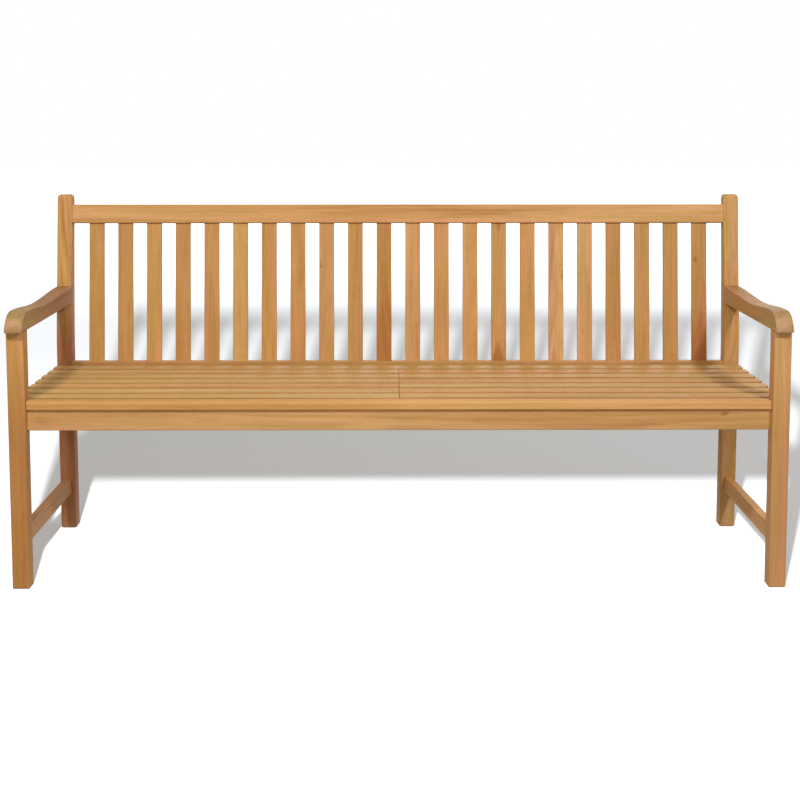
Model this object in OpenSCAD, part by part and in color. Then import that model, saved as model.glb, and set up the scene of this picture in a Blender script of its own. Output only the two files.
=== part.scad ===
// Three-seat garden bench with a slatted seat and a slatted, reclined back.
// Two pegged end frames (leg, post, arm, stretcher and seat rail) are joined by three long rails.
// +X runs along the bench to the right, +Y to the back and +Z up. Lengths are in millimetres.
// The origin lies on the ground, in the middle of the whole bench.

/* [Overall] */
// Length over the outer faces of the legs
bench_length = 1800; // [1300:10:2200]
// Height of the top of the seat
seat_height = 442; // [400:1:480]
// From the front faces of the legs to the front faces of the rear posts, at the seat
seat_depth = 500; // [470:1:560]
// Radius of the softened long edges of the rails and legs
arris = 2.5; // [1:0.5:4]

/* [Front legs] */
// Side of a leg's square section
leg_size = 40; // [38:1:50]
// Chamfer round the feet of the legs and posts
foot_chamfer = 3; // [1:0.5:5]
// Height of the tenon on top of a leg
leg_tenon_h = 22; // [14:1:24]
// Side of the square tenon on top of a leg
leg_tenon_w = 22; // [16:1:26]

/* [Rear posts] */
// Height of the top of the posts
post_height = 888; // [840:1:960]
// Width of a post, along the bench
post_width = 40; // [38:1:50]
// Front to back size of a post at the ground
post_foot_depth = 45; // [42:1:55]
// Front to back size of a post at its bend
post_bend_depth = 43; // [40:1:50]
// Front to back size of a post at its top
post_top_depth = 31; // [29:1:40]
// How far the post's foot stands behind its front face at the bend
post_kick = 7; // [2:1:20]
// Height of the bend
bend_height = 515; // [500:1:530]
// Height over which the post is bent
bend_span = 110; // [60:5:130]
// Lean of the post above the bend, in degrees
recline = 7.8; // [4:0.1:12]
// Radius of a post's long edges
post_arris = 4; // [2:0.5:6]
// Height of the rounding at the top of a post
post_round_h = 12; // [6:1:16]
// How far that rounding draws in
post_round_w = 6; // [3:1:8]

/* [Arms] */
// Height of the flat underside of the arms
arm_underside = 603; // [580:1:640]
// Width of an arm
arm_width = 40; // [38:1:60]
// How far an arm's nose stands in front of the leg
arm_overhang = 16; // [8:1:30]
// Length of the rounded nose
arm_nose_l = 56; // [35:1:60]
// How far the nose leans back from upright at its tip, in degrees
arm_nose_lean = 25; // [5:1:35]
// Height of the nose at its tip
arm_tip = 4; // [4:0.5:10]
// Thickness of the arm behind its nose
arm_crest = 45; // [42:1:55]
// Thickness of the arm at its dip
arm_dip = 36; // [34:1:40]
// Thickness of the arm where it meets the post
arm_rear = 46; // [42:1:55]
// From the leg's front face to the middle of the crest
crest_at = 56; // [48:1:70]
// From the leg's front face to the bottom of the dip
dip_at = 246; // [180:1:320]
// Radius of the arm's upper edges
arm_edge = 3; // [2:0.5:8]
// Radius of the nose's corners, seen from above
arm_nose_r = 3; // [2:1:14]

/* [Stretchers and seat rails] */
// Height of the lower edge of the side stretchers
stretcher_z = 97; // [60:1:200]
// Height of a stretcher's section
stretcher_h = 40; // [34:1:60]
// Thickness of a stretcher
stretcher_t = 21; // [18:1:30]
// Height of the side rails and the centre bearer under the seat
seat_rail_h = 50; // [46:1:60]
// Thickness of the side rails under the seat
seat_rail_t = 25; // [22:1:32]
// Width of the centre bearer
bearer_w = 45; // [40:1:60]

/* [Front rail] */
// Height of the front rail
front_rail_h = 50; // [46:1:70]
// Thickness of the front rail
front_rail_t = 24; // [22:1:28]
// How far the front rail stands behind the legs' front faces
front_rail_set = 15; // [12:0.5:16]

/* [Seat slats] */
// Number of wide seat slats
seat_slats = 7; // [5:1:7]
// Width of a wide seat slat
seat_slat_w = 51; // [44:0.5:57]
// Thickness of the seat slats
seat_slat_t = 20.4; // [18:0.1:24]
// Radius of a seat slat's outer corners, seen from above
slat_corner = 16; // [4:1:20]
// Radius of the slats' upper edges
slat_arris = 3; // [1:0.5:6]
// Gap between the last seat slat and the rear posts
seat_rear_gap = 9; // [6:1:20]
// Gap between the two halves of a seat slat
half_gap = 0.8; // [0.5:0.1:3]
// Width of the nosing
nosing_w = 29; // [26:1:32]
// How far the nosing stands behind the legs' front faces
nosing_set = 8; // [4:1:11]
// Radius of the nosing's front edge
nosing_r = 8; // [4:1:9]

/* [Back] */
// How far the lower back rail stands above the seat
back_rail_rise = 8; // [4:1:24]
// Thickness of the back rails
back_rail_t = 25; // [22:1:26]
// Height of the top rail
top_rail_h = 49; // [40:1:70]
// How far the posts stand above the top rail
top_rail_drop = 27; // [20:1:40]
// How far the back rails stand behind the posts' front faces
back_rail_set = 2; // [0:0.5:3]
// Number of back slats
back_slats = 22; // [12:1:22]
// Width of a back slat
back_slat_w = 39.5; // [30:0.5:42]
// Thickness of a back slat
back_slat_t = 11; // [8:0.5:14]
// Gap between a post and the first back slat
back_end_gap = 43; // [25:1:50]
// How deep a back slat is housed in the rails
housing = 12; // [8:1:16]
// Radius of a back slat's edges
back_slat_arris = 2; // [0.5:0.5:3]

/* [Joinery] */
// Thickness of the tenons in the end frames
tenon_t = 10; // [8:1:12]
// Length of the tenons in the end frames
tenon_l = 25; // [18:1:28]
// Shoulder above and below a tenon
tenon_shoulder = 6; // [4:1:8]
// Height of the tenon on a seat side rail, in its upper part
side_tenon_h = 20; // [16:1:22]
// Height of the tenon at an arm's rear end
arm_tenon_h = 24; // [20:1:26]
// Width of the stub tenons at the ends of the centre bearer
bearer_tenon_w = 28; // [20:1:34]
// Length of the stub tenons at the ends of the centre bearer
bearer_tenon_l = 10; // [6:1:12]
// Diameter of a peg
peg_d = 8; // [6:0.5:9]
// Gap round a tenon, a peg or a housed slat
fit = 0.2; // [0.1:0.05:0.4]
// Gap at the end of a tenon or a housed slat
end_room = 0.8; // [0.4:0.1:0.9]

/* [Bolts and screws] */
// Diameter of the frame bolts
bolt_d = 6; // [5:0.5:7]
// Diameter of a bolt's head
bolt_head_d = 13; // [11:0.5:15]
// Height of a bolt's head
bolt_head_h = 4; // [3:0.5:5]
// Depth to which a bolt's head is sunk below the face
bolt_sink = 2; // [1:0.5:4]
// Width of the hexagon socket in a bolt's head
bolt_socket = 4; // [3:0.5:5]
// Depth of that socket
bolt_socket_h = 2.8; // [2:0.1:2.8]
// From the end of a rail to its barrel nuts
nut_at = 35; // [28:1:50]
// Diameter of a barrel nut
nut_d = 10; // [9:0.5:12]
// Length of a barrel nut
nut_l = 16; // [12:1:17]
// Height of a bolt above the lower edge of its rail
bolt_up = 14; // [11:1:15]
// Diameter of a seat screw
screw_d = 4; // [3:0.5:5]
// Length of a seat screw, under its head
screw_l = 46; // [40:1:50]
// Diameter of a seat screw's head
screw_head_d = 8.4; // [7:0.2:9.6]
// Height of a seat screw's head
screw_head_h = 2.6; // [2:0.2:3.2]
// Diameter of the flat on top of a seat screw's head
screw_flat_d = 5; // [4:0.5:6]
// Diameter of the pocket for a screw's head
screw_pocket_d = 10; // [9.8:0.2:11.6]
// How far a seat screw reaches into its slat
screw_bite = 13; // [8:1:15]
// Number of screws along the nosing
nosing_screws = 4; // [2:1:8]

/* [Hidden] */
LEFT = -1;
RIGHT = 1;
SIDES = [[LEFT, "_left"], [RIGHT, "_right"]];
WOOD = "#c9a06a";
WOOD_DARK = "#b98b58";
STEEL = "#b9bcc0";
// Steps in a rounded edge, in a bend or an arm's curves, and sides of a round hole or shaft
arc_steps = 4;
bend_steps = 8;
curve_steps = 12;
round_sides = 32;
// Wood left between a stub tenon and the tenon that crosses its end
joint_wall = 5;
// How far a cut or a joined piece runs past the face that it starts from
overcut = 4;
// Smallest radius of a crisp edge
crisp = 0.8;

// Heights and places that follow from the sizes above. Places from front to back are counted from
// the front faces of the legs, and bench() moves everything to the middle at the end.
slat_bed = seat_height - seat_slat_t;
rail_bottom = slat_bed - front_rail_h;
seat_rail_mid = slat_bed - seat_rail_h / 2;
frame_mid = bench_length / 2 - leg_size / 2;
inner_leg = frame_mid - leg_size / 2;
inner_post = frame_mid - post_width / 2;
front_rail_y = front_rail_set + front_rail_t / 2;
back_rail_y = seat_depth + back_rail_set + back_rail_t / 2;
back_rail_top = seat_height + back_rail_rise;
back_rail_h = back_rail_top - rail_bottom;

// Front face of a post at a height: a kicked foot, a soft bend and a straight lean above it
function lean(z) =
    let (foot = -post_kick / bend_height, top = tan(recline), low = bend_height - bend_span / 2,
         s = (z - low) / bend_span)
    s < 0 ? foot * (z - low) :
    s < 1 ? bend_span * (foot * s + (top - foot) * s * s / 2) :
    bend_span * (foot + top) / 2 + top * (z - low - bend_span);
function post_front(z) = seat_depth + lean(z) - lean(slat_bed);
// Front to back size of a post at a height
function post_depth(z) = z < bend_height
    ? post_foot_depth + (post_bend_depth - post_foot_depth) * z / bend_height
    : post_bend_depth + (post_top_depth - post_bend_depth)
      * (z - bend_height) / (post_height - bend_height);

// Points of an arc, and of a rectangle whose corners have radii of their own: those at low y on
// the right, at high y on the right, at high y on the left and at low y on the left
function arc(x, y, r, from, to) =
    [for (i = [0:arc_steps]) let (a = from + (to - from) * i / arc_steps)
        [x + r * cos(a), y + r * sin(a)]];
function soft_rect(x0, y0, x1, y1, r) = concat(
    arc(x1 - r[0], y0 + r[0], r[0], -90, 0), arc(x1 - r[1], y1 - r[1], r[1], 0, 90),
    arc(x0 + r[2], y1 - r[2], r[2], 90, 180), arc(x0 + r[3], y0 + r[3], r[3], 180, 270));
function soft_section(w, h, r) = soft_rect(-w / 2, -h / 2, w / 2, h / 2, [r, r, r, r]);

// Rings of a post, from its chamfered foot through the bend to its rounded top
post_heights = concat([0, foot_chamfer],
    [for (i = [0:bend_steps]) bend_height + bend_span * (i / bend_steps - 0.5)]);
function post_ring(z, inset) =
    let (y = post_front(z), r = max(post_arris - inset / 2, crisp))
    [for (p = soft_rect(inset - post_width / 2, y + inset, post_width / 2 - inset,
                        y + post_depth(z) - inset, [r, r, r, r])) [p[0], p[1], z]];
post_rings = concat(
    [for (z = post_heights) post_ring(z, z == 0 ? foot_chamfer : 0)],
    [for (i = [0:bend_steps]) let (a = 90 * i / bend_steps)
        post_ring(post_height - post_round_h * (1 - sin(a)), post_round_w * (1 - cos(a)))]);
rear_reach = max([for (ring = post_rings) for (p = ring) p[1]]);
centre_shift = (arm_overhang - rear_reach) / 2;

// Thickness of an arm at a place from front to back: a rounded nose that starts at a crisp lower
// lip, a crest, a dip and a rise to the post. The nose is part of an ellipse.
arm_end = post_front(arm_underside);
nose_end = arm_nose_l - arm_overhang;
nose_a = arm_nose_l / cos(arm_nose_lean);
nose_b = (arm_crest - arm_tip) / (1 - sin(arm_nose_lean));
function swell(s) = (1 - cos(180 * s)) / 2;
function arm_height(y) =
    y < nose_end ? arm_crest - nose_b * (1 - sqrt(1 - pow((nose_end - y) / nose_a, 2))) :
    y < crest_at ? arm_crest :
    y < dip_at ? arm_crest - (arm_crest - arm_dip) * swell((y - crest_at) / (dip_at - crest_at)) :
    y < arm_end ? arm_dip + (arm_rear - arm_dip) * swell((y - dip_at) / (arm_end - dip_at)) :
    arm_rear;
// Half the width of an arm there, drawn in at the corners of the nose
function arm_half(y) =
    let (s = min(y + arm_overhang, arm_nose_r))
    arm_width / 2 - arm_nose_r + sqrt(arm_nose_r * arm_nose_r - pow(arm_nose_r - s, 2));
function arm_ring(y) =
    let (h = arm_height(y), w = arm_half(y), high = min(arm_edge, h / 2), low = min(arris, h / 3))
    [for (p = soft_rect(-w, arm_underside, w, arm_underside + h, [low, high, high, low]))
        [p[0], y, p[1]]];
function steps(from, to) = [for (i = [1:curve_steps]) from + (to - from) * i / curve_steps];
arm_places = concat(
    [for (i = [0:curve_steps])
        nose_end - nose_a * cos(arm_nose_lean + (90 - arm_nose_lean) * i / curve_steps)],
    [crest_at], steps(crest_at, dip_at), steps(dip_at, arm_end), [arm_end + post_bend_depth]);
arm_rings = [for (i = [len(arm_places) - 1:-1:0]) arm_ring(arm_places[i])];

// Where the seat's pieces lie
nosing_back = nosing_set + nosing_w;
seat_gap = (seat_depth - seat_rear_gap - nosing_back - seat_slats * seat_slat_w) / seat_slats;
function slat_front(i) = nosing_back + seat_gap + (i - 1) * (seat_slat_w + seat_gap);
function slat_mid(i) = slat_front(i) + seat_slat_w / 2;

// Where the reclined top rail stands, and the line of the slats between the two back rails
top_rail_z = post_height - top_rail_drop - top_rail_h / 2;
top_rail_y = post_front(top_rail_z) + back_rail_set + back_rail_t / 2;
slat_rise = [top_rail_y - sin(recline) * top_rail_h / 2 - back_rail_y,
             top_rail_z - cos(recline) * top_rail_h / 2 - back_rail_top];
slat_run = norm(slat_rise);
slat_lean = atan2(slat_rise[0], slat_rise[1]);
slat_first = back_slat_w / 2 + back_end_gap - inner_post;
slat_pitch = -2 * slat_first / (back_slats - 1);

// Where the joints, pegs and bolts lie
stretcher_mid = stretcher_z + stretcher_h / 2;
side_tenon_z = slat_bed - tenon_shoulder - side_tenon_h / 2;
arm_tenon_z = arm_underside + arm_rear / 2;
peg_past = tenon_t / 2 + 1;
leg_pegs = [for (z = [stretcher_mid, side_tenon_z]) [leg_size - tenon_l / 2, z]];
post_pegs = [for (z = [stretcher_mid, side_tenon_z, arm_tenon_z]) [post_front(z) + tenon_l / 2, z]];
arm_peg = [leg_size / 2, arm_underside + leg_tenon_h / 2];
bolt_seat = bolt_sink + bolt_head_h;
low_bolt_z = rail_bottom + bolt_up;
high_bolt_z = back_rail_top - housing - bolt_up / 2 - bolt_d / 2;
front_bolts = [[front_rail_y, low_bolt_z]];
back_bolts = [[back_rail_y, low_bolt_z], [back_rail_y, high_bolt_z], [top_rail_y, top_rail_z]];
screw_seat = slat_bed + screw_bite - screw_l;
bearer_screw_x = bearer_w / 4;
nosing_step = 2 * inner_leg / nosing_screws;
nosing_screw_xs = [for (i = [1:nosing_screws]) (i - 0.5) * nosing_step - inner_leg];

// ---- Helpers ----

module bench() translate([0, centre_shift, 0]) children();
// What is drawn for the left end frame, about its own middle, is mirrored for the right one
module end_frame(side) bench() mirror([side == RIGHT ? 1 : 0, 0, 0])
    translate([-frame_mid, 0, 0]) children();
// A profile drawn as [front to back, height] and extruded along X to both sides of the middle, or
// drawn as [X, height] and extruded from the origin towards the back
module along_x(l) rotate([90, 0, 90]) linear_extrude(l, center = true) children();
module along_y(l) translate([0, l, 0]) rotate([90, 0, 0]) linear_extrude(l) children();
// A skin over a list of rings, whose points run counter-clockwise seen from the last ring
module loft(rings) {
    n = len(rings[0]);
    last = len(rings) - 1;
    polyhedron(
        points = [for (ring = rings) for (p = ring) p],
        faces = concat(
            [[for (j = [0:n - 1]) j]],
            [for (i = [0:last - 1]) for (j = [0:n - 1])
                [i * n + j, (i + 1) * n + j, (i + 1) * n + (j + 1) % n]],
            [for (i = [0:last - 1]) for (j = [0:n - 1])
                [i * n + j, (i + 1) * n + (j + 1) % n, i * n + (j + 1) % n]],
            [[for (j = [n - 1:-1:0]) last * n + j]]));
}
// A tenon runs l along +Y from the origin, with its root behind it. A mortise is its socket.
module tenon(w, l, h) translate([-w / 2, -overcut, -h / 2]) cube([w, l + overcut, h]);
module mortise(w, l, h) tenon(w + 2 * fit, l + end_room, h + 2 * fit);
module towards_front() mirror([0, 1, 0]) children();
// Everything behind the front faces of the posts, for the shoulders that are scribed to them
module behind_post() {
    top = post_height - post_round_h;
    along_x(2 * (post_width + arm_width)) polygon(concat(
        [for (z = concat([-overcut], [for (h = post_heights) if (h > 0) h], [top]))
            [post_front(z), z]],
        [[2 * seat_depth, top], [2 * seat_depth, -overcut]]));
}
// A round shaft along X, from the outer face of a member w wide to a depth
module from_outside(w, d, depth) translate([-w / 2, 0, 0]) rotate([0, 90, 0])
    cylinder(d = d, h = depth, $fn = round_sides);
module peg_hole(w, past) translate([-overcut, 0, 0])
    from_outside(w, peg_d + 2 * fit, overcut + w / 2 + past + fit);
// A bolt's way through a leg or post: a pocket for its head, and a clearance hole
module bolt_way(w) {
    translate([-overcut, 0, 0]) from_outside(w, bolt_head_d + 4 * fit, overcut + bolt_seat);
    from_outside(w, bolt_d + 2 * fit, w + overcut);
}
// Socket for a long rail's stub tenon, in the inner face of a leg or post w wide
function stub_l(w) = (w - tenon_t) / 2 - joint_wall;
module stub_mortise(w, h) translate([w / 2 + overcut / 2 - (stub_l(w) + end_room) / 2, 0, 0])
    cube([stub_l(w) + end_room + overcut, tenon_t + 2 * fit, h - 2 * tenon_shoulder + 2 * fit],
         center = true);
// A long rail between members w wide, whose inner faces are at +-inner, centred on the origin
module long_rail(inner, w, t, h) {
    along_x(2 * inner) polygon(soft_section(t, h, arris));
    cube([2 * (inner + stub_l(w)), tenon_t, h - 2 * tenon_shoulder], center = true);
}
// Holes at both ends of a long rail for a bolt, and for its nut from behind, at a height
module rail_bolt_holes(inner, t, z) for (turn = [0, 1]) mirror([turn, 0, 0])
    translate([inner - nut_at, 0, z]) {
        translate([-nut_d / 2 - fit, 0, 0]) rotate([0, 90, 0])
            cylinder(d = bolt_d + 2 * fit, h = nut_at + leg_size + post_width, $fn = round_sides);
        translate([0, -nut_l / 2 - fit, 0]) rotate([-90, 0, 0])
            cylinder(d = nut_d + 2 * fit, h = nut_l / 2 + t, $fn = round_sides);
    }
// A seat screw's way through a rail: a pocket from below, and a clearance hole
module screw_way(z) {
    translate([0, 0, z - overcut]) cylinder(d = screw_pocket_d, h = screw_seat - z + overcut,
                                            $fn = round_sides);
    translate([0, 0, z]) cylinder(d = screw_d + 4 * fit, h = slat_bed - z + overcut,
                                  $fn = round_sides);
}
module pilot_hole() translate([0, 0, slat_bed - overcut])
    cylinder(d = screw_d + 2 * fit, h = overcut + screw_bite + end_room, $fn = round_sides);

// ---- End frames ----

module front_leg(side) end_frame(side) color(WOOD) difference() {
    translate([0, leg_size / 2, 0]) {
        c = foot_chamfer;
        foot = [[-leg_size / 2 + c, 0], [leg_size / 2 - c, 0], [leg_size / 2, c],
                [leg_size / 2, arm_underside], [-leg_size / 2, arm_underside], [-leg_size / 2, c]];
        intersection() {
            linear_extrude(arm_underside) polygon(soft_section(leg_size, leg_size, arris));
            along_x(leg_size) polygon(foot);
            translate([0, -leg_size / 2, 0]) along_y(leg_size) polygon(foot);
        }
        translate([-leg_tenon_w / 2, -leg_tenon_w / 2, arm_underside - overcut])
            cube([leg_tenon_w, leg_tenon_w, leg_tenon_h + overcut]);
    }
    translate([0, leg_size, stretcher_mid]) towards_front()
        mortise(tenon_t, tenon_l, stretcher_h - 2 * tenon_shoulder);
    translate([0, leg_size, side_tenon_z]) towards_front() mortise(tenon_t, tenon_l, side_tenon_h);
    translate([0, front_rail_y, rail_bottom + front_rail_h / 2])
        stub_mortise(leg_size, front_rail_h);
    for (p = leg_pegs) translate([0, p[0], p[1]]) peg_hole(leg_size, peg_past);
    translate([0, arm_peg[0], arm_peg[1]]) peg_hole(leg_size, leg_size);
    for (b = front_bolts) translate([0, b[0], b[1]]) bolt_way(leg_size);
}

module rear_post(side) end_frame(side) color(WOOD) difference() {
    loft(post_rings);
    translate([0, post_front(stretcher_mid), stretcher_mid])
        mortise(tenon_t, tenon_l, stretcher_h - 2 * tenon_shoulder);
    translate([0, post_front(side_tenon_z), side_tenon_z])
        mortise(tenon_t, tenon_l, side_tenon_h);
    translate([0, post_front(arm_tenon_z), arm_tenon_z]) mortise(tenon_t, tenon_l, arm_tenon_h);
    translate([0, back_rail_y, rail_bottom + back_rail_h / 2])
        stub_mortise(post_width, back_rail_h);
    translate([0, top_rail_y, top_rail_z]) rotate([-recline, 0, 0])
        stub_mortise(post_width, top_rail_h);
    for (p = post_pegs) translate([0, p[0], p[1]]) peg_hole(post_width, peg_past);
    for (b = back_bolts) translate([0, b[0], b[1]]) bolt_way(post_width);
}

module arm(side) end_frame(side) color(WOOD) difference() {
    union() {
        difference() {
            loft(arm_rings);
            behind_post();
        }
        translate([0, post_front(arm_tenon_z), arm_tenon_z]) tenon(tenon_t, tenon_l, arm_tenon_h);
    }
    w = leg_tenon_w + 2 * fit;
    translate([-w / 2, leg_size / 2 - w / 2, arm_underside - overcut])
        cube([w, w, leg_tenon_h + end_room + overcut]);
    translate([0, arm_peg[0], arm_peg[1]]) peg_hole(arm_width, leg_tenon_w / 2 + 1);
    translate([0, post_pegs[2][0], post_pegs[2][1]]) peg_hole(arm_width, arm_width);
}

// A bar from the leg to the scribed shoulder at the post, with a tenon at each end
module frame_rail(w, h, mid, tenon_h, tenon_z) difference() {
    union() {
        difference() {
            translate([0, leg_size, mid]) along_y(arm_end - leg_size)
                polygon(soft_section(w, h, arris));
            behind_post();
        }
        translate([0, leg_size, tenon_z]) towards_front() tenon(tenon_t, tenon_l, tenon_h);
        translate([0, post_front(tenon_z), tenon_z]) tenon(tenon_t, tenon_l, tenon_h);
    }
    for (y = [leg_size - tenon_l / 2, post_front(tenon_z) + tenon_l / 2])
        translate([0, y, tenon_z]) peg_hole(leg_size, leg_size);
}

module side_stretcher(side) end_frame(side) color(WOOD) frame_rail(
    stretcher_t, stretcher_h, stretcher_mid, stretcher_h - 2 * tenon_shoulder, stretcher_mid);

module seat_side_rail(side) end_frame(side) color(WOOD_DARK) difference() {
    frame_rail(seat_rail_t, seat_rail_h, seat_rail_mid, side_tenon_h, side_tenon_z);
    for (i = [1:seat_slats]) translate([0, slat_mid(i), 0]) screw_way(slat_bed - seat_rail_h);
}

// ---- Long rails and the centre bearer ----

module bearer_tenons(cut) for (end = [[front_rail_set + front_rail_t, 1],
                                      [back_rail_y - back_rail_t / 2, 0]])
    translate([0, end[0], seat_rail_mid]) mirror([0, end[1], 0])
        if (cut) mortise(bearer_tenon_w, bearer_tenon_l, seat_rail_h - 2 * tenon_shoulder);
        else tenon(bearer_tenon_w, bearer_tenon_l, seat_rail_h - 2 * tenon_shoulder);

module front_rail() bench() color(WOOD) difference() {
    translate([0, front_rail_y, rail_bottom + front_rail_h / 2])
        long_rail(inner_leg, leg_size, front_rail_t, front_rail_h);
    translate([0, front_rail_y, 0]) rail_bolt_holes(inner_leg, front_rail_t, low_bolt_z);
    for (x = nosing_screw_xs) translate([x, front_rail_y, 0]) screw_way(rail_bottom);
    bearer_tenons(true);
}

module lower_back_rail() bench() color(WOOD) difference() {
    translate([0, back_rail_y, rail_bottom + back_rail_h / 2])
        long_rail(inner_post, post_width, back_rail_t, back_rail_h);
    translate([0, back_rail_y, 0]) {
        rail_bolt_holes(inner_post, back_rail_t, low_bolt_z);
        rail_bolt_holes(inner_post, back_rail_t, high_bolt_z);
    }
    for (i = [1:back_slats]) slat_housing(i);
    bearer_tenons(true);
}

module top_rail() bench() color(WOOD) difference() {
    translate([0, top_rail_y, top_rail_z]) rotate([-recline, 0, 0]) difference() {
        long_rail(inner_post, post_width, back_rail_t, top_rail_h);
        rail_bolt_holes(inner_post, back_rail_t, 0);
    }
    for (i = [1:back_slats]) slat_housing(i);
}

module centre_bearer() bench() color(WOOD_DARK) difference() {
    front = front_rail_set + front_rail_t;
    union() {
        translate([0, front, seat_rail_mid]) along_y(back_rail_y - back_rail_t / 2 - front)
            polygon(soft_section(bearer_w, seat_rail_h, arris));
        bearer_tenons(false);
    }
    for (i = [1:seat_slats]) for (x = [-bearer_screw_x, bearer_screw_x])
        translate([x, slat_mid(i), 0]) screw_way(slat_bed - seat_rail_h);
}

// ---- Seat ----

// A board of the seat: its cross-section, its outline from above and its outline from the front,
// intersected, with corner radius r0 at the end x0 and r1 at the end x1
module board(x0, x1, y0, w, section, r0, r1) {
    e0 = min(r0, slat_arris);
    e1 = min(r1, slat_arris);
    intersection() {
        along_x(2 * bench_length) polygon(section);
        translate([0, 0, slat_bed - overcut]) linear_extrude(seat_slat_t + 2 * overcut)
            polygon(soft_rect(x0, y0, x1, y0 + w, [r1, r1, r0, r0]));
        translate([0, y0 - w / 2, 0]) along_y(2 * w)
            polygon(soft_rect(x0, slat_bed, x1, seat_height, [crisp, e1, e0, crisp]));
    }
}
module seat_board(i, x0, x1, r0, r1) {
    y = slat_front(i);
    board(x0, x1, y, seat_slat_w,
          soft_rect(y, slat_bed, y + seat_slat_w, seat_height, [crisp, slat_arris, slat_arris, crisp]),
          r0, r1);
}

module seat_nosing() bench() color(WOOD) difference() {
    reach = inner_leg - fit;
    board(-reach, reach, nosing_set, nosing_w,
          soft_rect(nosing_set, slat_bed, nosing_back, seat_height,
                    [crisp, slat_arris, nosing_r, crisp]), crisp, crisp);
    for (x = nosing_screw_xs) translate([x, front_rail_y, 0]) pilot_hole();
}

module seat_slat(i, side) bench() mirror([side == RIGHT ? 1 : 0, 0, 0]) color(WOOD) difference() {
    seat_board(i, -bench_length / 2, -half_gap / 2, slat_corner, crisp);
    for (x = [-frame_mid, -bearer_screw_x]) translate([x, slat_mid(i), 0]) pilot_hole();
}

module rear_seat_slat() bench() color(WOOD) difference() {
    seat_board(seat_slats, -bench_length / 2, bench_length / 2, slat_corner, slat_corner);
    for (x = [-frame_mid, -bearer_screw_x, bearer_screw_x, frame_mid])
        translate([x, slat_mid(seat_slats), 0]) pilot_hole();
}

// ---- Back ----

// The frame of a back slat: its origin on top of the lower back rail, with +Z along the slat
module slat_line(i) translate([slat_first + (i - 1) * slat_pitch, back_rail_y, back_rail_top])
    rotate([-slat_lean, 0, 0]) children();
module back_slat(i) bench() color(WOOD) slat_line(i) translate([0, 0, -housing])
    linear_extrude(slat_run + 2 * housing)
        polygon(soft_section(back_slat_w, back_slat_t, back_slat_arris));
module slat_housing(i) slat_line(i)
    translate([-back_slat_w / 2 - fit, -back_slat_t / 2 - fit, -housing - end_room])
        cube([back_slat_w + 2 * fit, back_slat_t + 2 * fit,
              slat_run + 2 * (housing + end_room)]);

// ---- Fasteners ----

module bolt(l) color(STEEL) {
    cylinder(d = bolt_d, h = l, $fn = round_sides);
    translate([0, 0, -bolt_head_h]) difference() {
        cylinder(d = bolt_head_d, h = bolt_head_h, $fn = round_sides);
        translate([0, 0, -overcut]) cylinder(d = bolt_socket / cos(30),
                                             h = overcut + bolt_socket_h, $fn = 6);
    }
}
module frame_bolts() for (side = SIDES) end_frame(side[0]) {
    for (b = front_bolts) translate([bolt_seat - leg_size / 2, b[0], b[1]]) rotate([0, 90, 0])
        bolt(leg_size - bolt_seat + nut_at + nut_d / 2);
    for (b = back_bolts) translate([bolt_seat - post_width / 2, b[0], b[1]]) rotate([0, 90, 0])
        bolt(post_width - bolt_seat + nut_at + nut_d / 2);
}

module barrel_nut() color(STEEL) difference() {
    rotate([-90, 0, 0]) cylinder(d = nut_d, h = nut_l, center = true, $fn = round_sides);
    rotate([0, 90, 0]) cylinder(d = bolt_d + 2 * fit, h = 2 * nut_d, center = true,
                                $fn = round_sides);
}
module barrel_nuts() for (side = SIDES) end_frame(side[0]) {
    for (b = front_bolts) translate([leg_size / 2 + nut_at, b[0], b[1]]) barrel_nut();
    for (b = back_bolts) translate([post_width / 2 + nut_at, b[0], b[1]])
        rotate([b[1] == top_rail_z ? -recline : 0, 0, 0]) barrel_nut();
}

module seat_screw() translate([0, 0, screw_seat]) color(STEEL) rotate_extrude($fn = round_sides)
    polygon([[0, -screw_head_h], [screw_flat_d / 2, -screw_head_h],
             [screw_head_d / 2, -screw_head_h / 3], [screw_head_d / 2, 0], [screw_d / 2, 0],
             [screw_d / 2, screw_l - screw_d], [0, screw_l]]);
module seat_screws() bench() {
    for (x = nosing_screw_xs) translate([x, front_rail_y, 0]) seat_screw();
    for (i = [1:seat_slats]) for (x = [-frame_mid, -bearer_screw_x, bearer_screw_x, frame_mid])
        translate([x, slat_mid(i), 0]) seat_screw();
}

module tenon_pegs() color(WOOD_DARK) for (side = SIDES) end_frame(side[0]) {
    for (p = leg_pegs) translate([0, p[0], p[1]])
        from_outside(leg_size, peg_d, leg_size / 2 + peg_past);
    for (p = post_pegs) translate([0, p[0], p[1]])
        from_outside(post_width, peg_d, post_width / 2 + peg_past);
    translate([0, arm_peg[0], arm_peg[1]])
        from_outside(arm_width, peg_d, arm_width / 2 + leg_tenon_w / 2 + 1);
}

// ---- The nodes ----

for (side = SIDES) {
    front_leg(side[0]);
    rear_post(side[0]);
    arm(side[0]);
    side_stretcher(side[0]);
    seat_side_rail(side[0]);
}
front_rail();
lower_back_rail();
top_rail();
centre_bearer();
seat_nosing();
for (i = [1:seat_slats - 1]) for (side = SIDES)
    seat_slat(i, side[0]);
rear_seat_slat();
for (i = [1:back_slats]) back_slat(i);
frame_bolts();
barrel_nuts();
seat_screws();
tenon_pegs();
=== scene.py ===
# %% [markdown]
# # A garden bench in teak
# The bench is a rigid frame of straight and gently shaped hardwood members: two pegged end
# frames, three long rails, a seat of narrow boards and a back of upright slats. Its joinery is
# already modelled as a CAD part, with one named piece for each length of wood and one for each
# kind of fastener. A Blender scene could model every piece again, but the CAD pieces already
# have the right sizes, the curved arms, the bent posts and the softened edges. So they are
# loaded as a fixed frame and stay as they are, and the work here goes into the wood, the light
# and the camera.

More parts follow.
